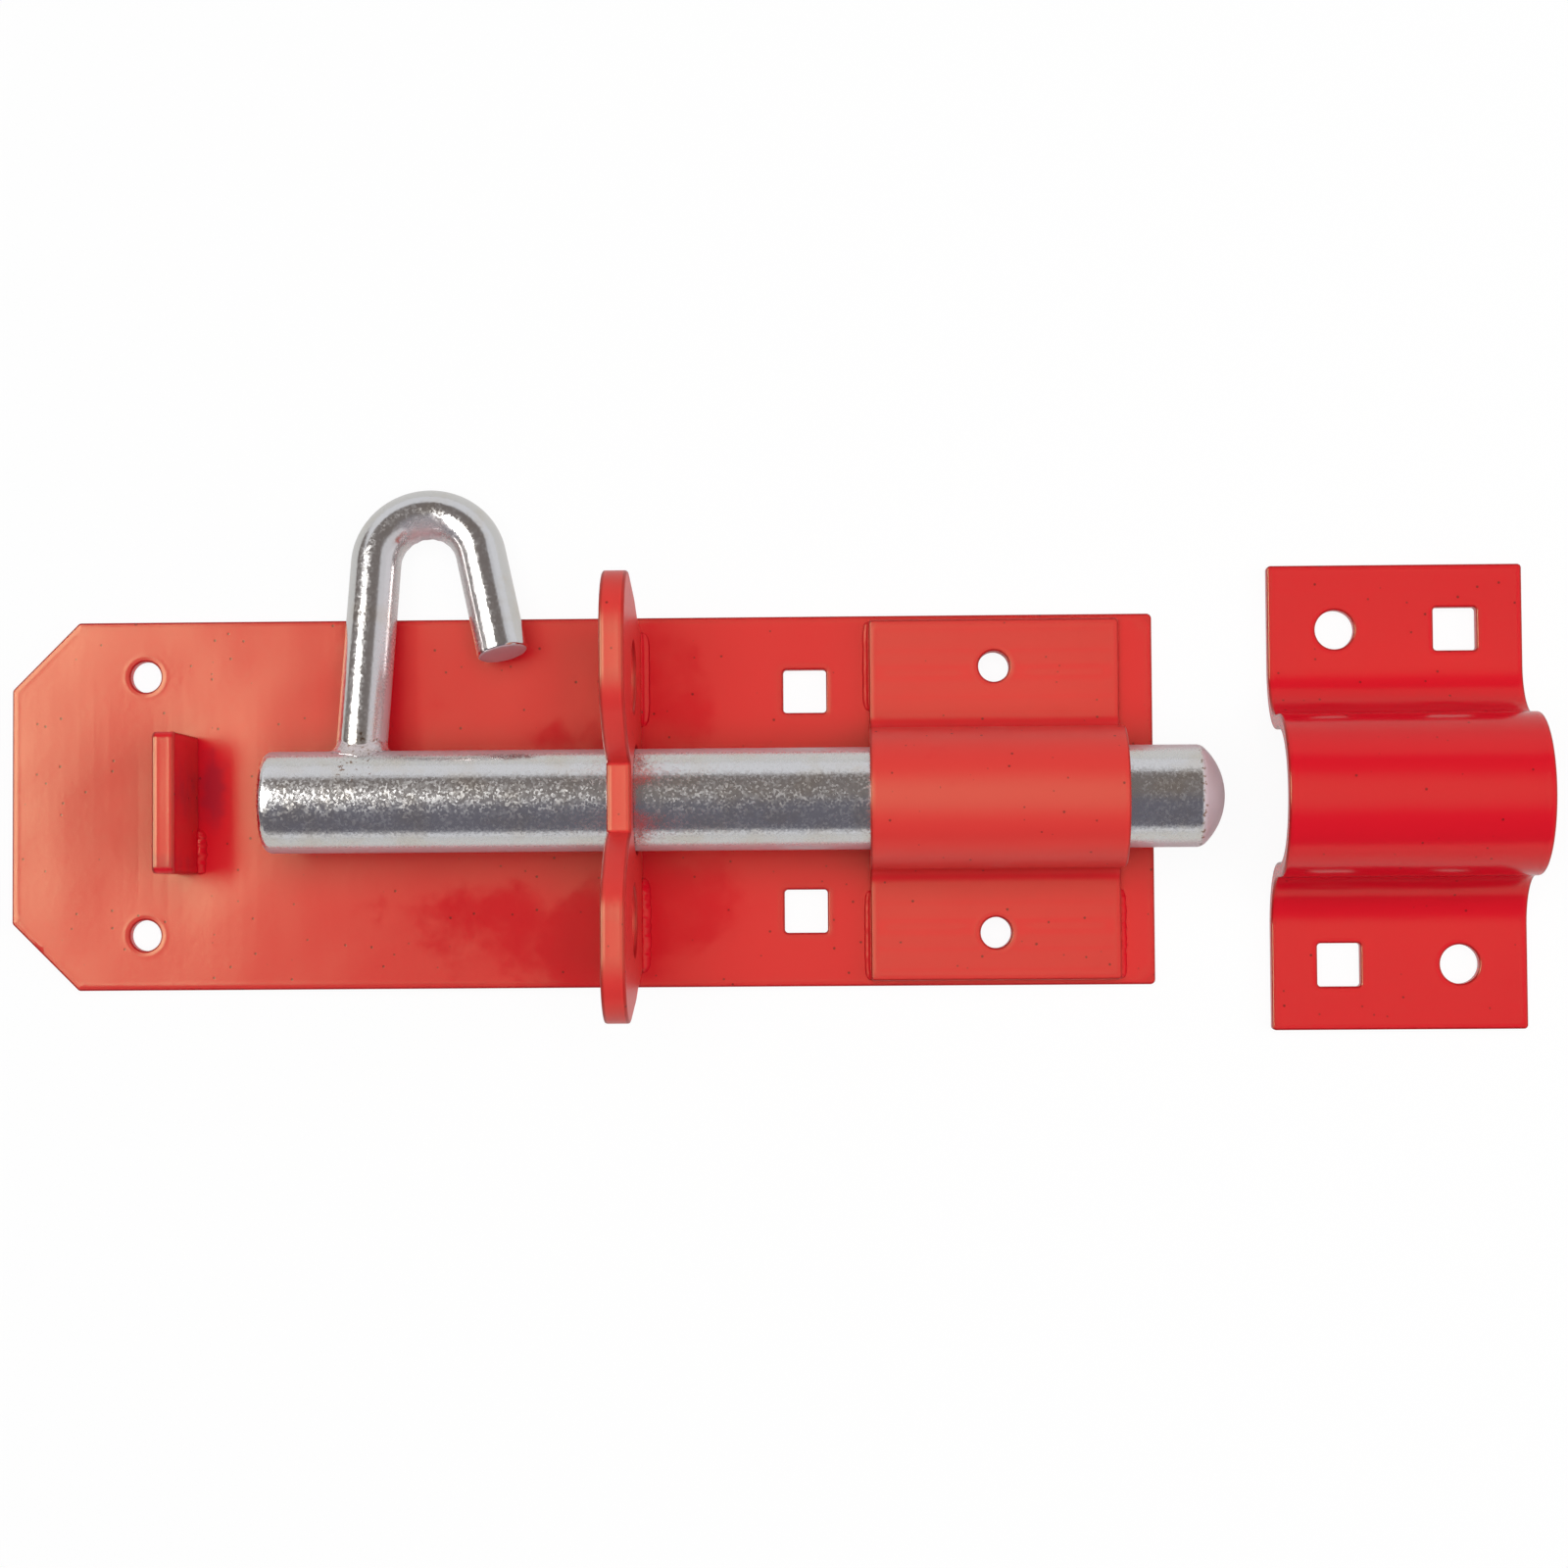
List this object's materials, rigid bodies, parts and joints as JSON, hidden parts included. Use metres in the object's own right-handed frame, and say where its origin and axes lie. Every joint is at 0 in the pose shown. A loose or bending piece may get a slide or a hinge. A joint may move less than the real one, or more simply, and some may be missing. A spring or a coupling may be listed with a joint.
{
  "type": "padlockable sliding bolt with staple",
  "caption": "Round sliding bolt with a hooked handle on a long backplate, an upright padlock plate, an arched guide and a separate bent strap staple.",
  "frame": {"origin": "middle of the backplate's mounting face, which lies on the door or gate", "axes": "+X along the bolt towards its nose and the staple, +Y across the backplate towards the side that the handle lies on, +Z away from the mounting face"},
  "size_m": [0.3027, 0.1092, 0.0492],
  "materials": {
    "enamel": "glossy red stoved enamel over steel, with light orange peel",
    "enamel_weld": "weld bead under the same glossy red enamel",
    "zinc_plated_steel": "bright zinc plating over rolled bar, finely grained",
    "zinc_plated_weld": "zinc plated weld bead with light brown specks"
  },
  "bodies": {
    "mounting": {"backplate": "enamel", "stop_lug": "enamel", "stop_lug_weld": "enamel_weld", "locking_plate": "enamel", "locking_plate_weld": "enamel_weld", "guide_bridge": "enamel", "guide_bridge_weld": "enamel_weld", "staple": "enamel"},
    "bolt": {"bolt_bar": "zinc_plated_steel"},
    "handle": {"bolt_handle": "zinc_plated_steel", "handle_weld": "zinc_plated_weld"}
  },
  "joints": [
    {"name": "bolt_slide", "type": "slide", "parent": "mounting", "child": "bolt", "axis": [1, 0, 0], "range_m": [-0.016, 0.017]},
    {"name": "handle_turn", "type": "hinge", "parent": "bolt", "child": "handle", "pos_m": [-0.0424, 0, 0.0175], "axis": [1, 0, 0], "range_deg": [0, 204]}
  ]
}
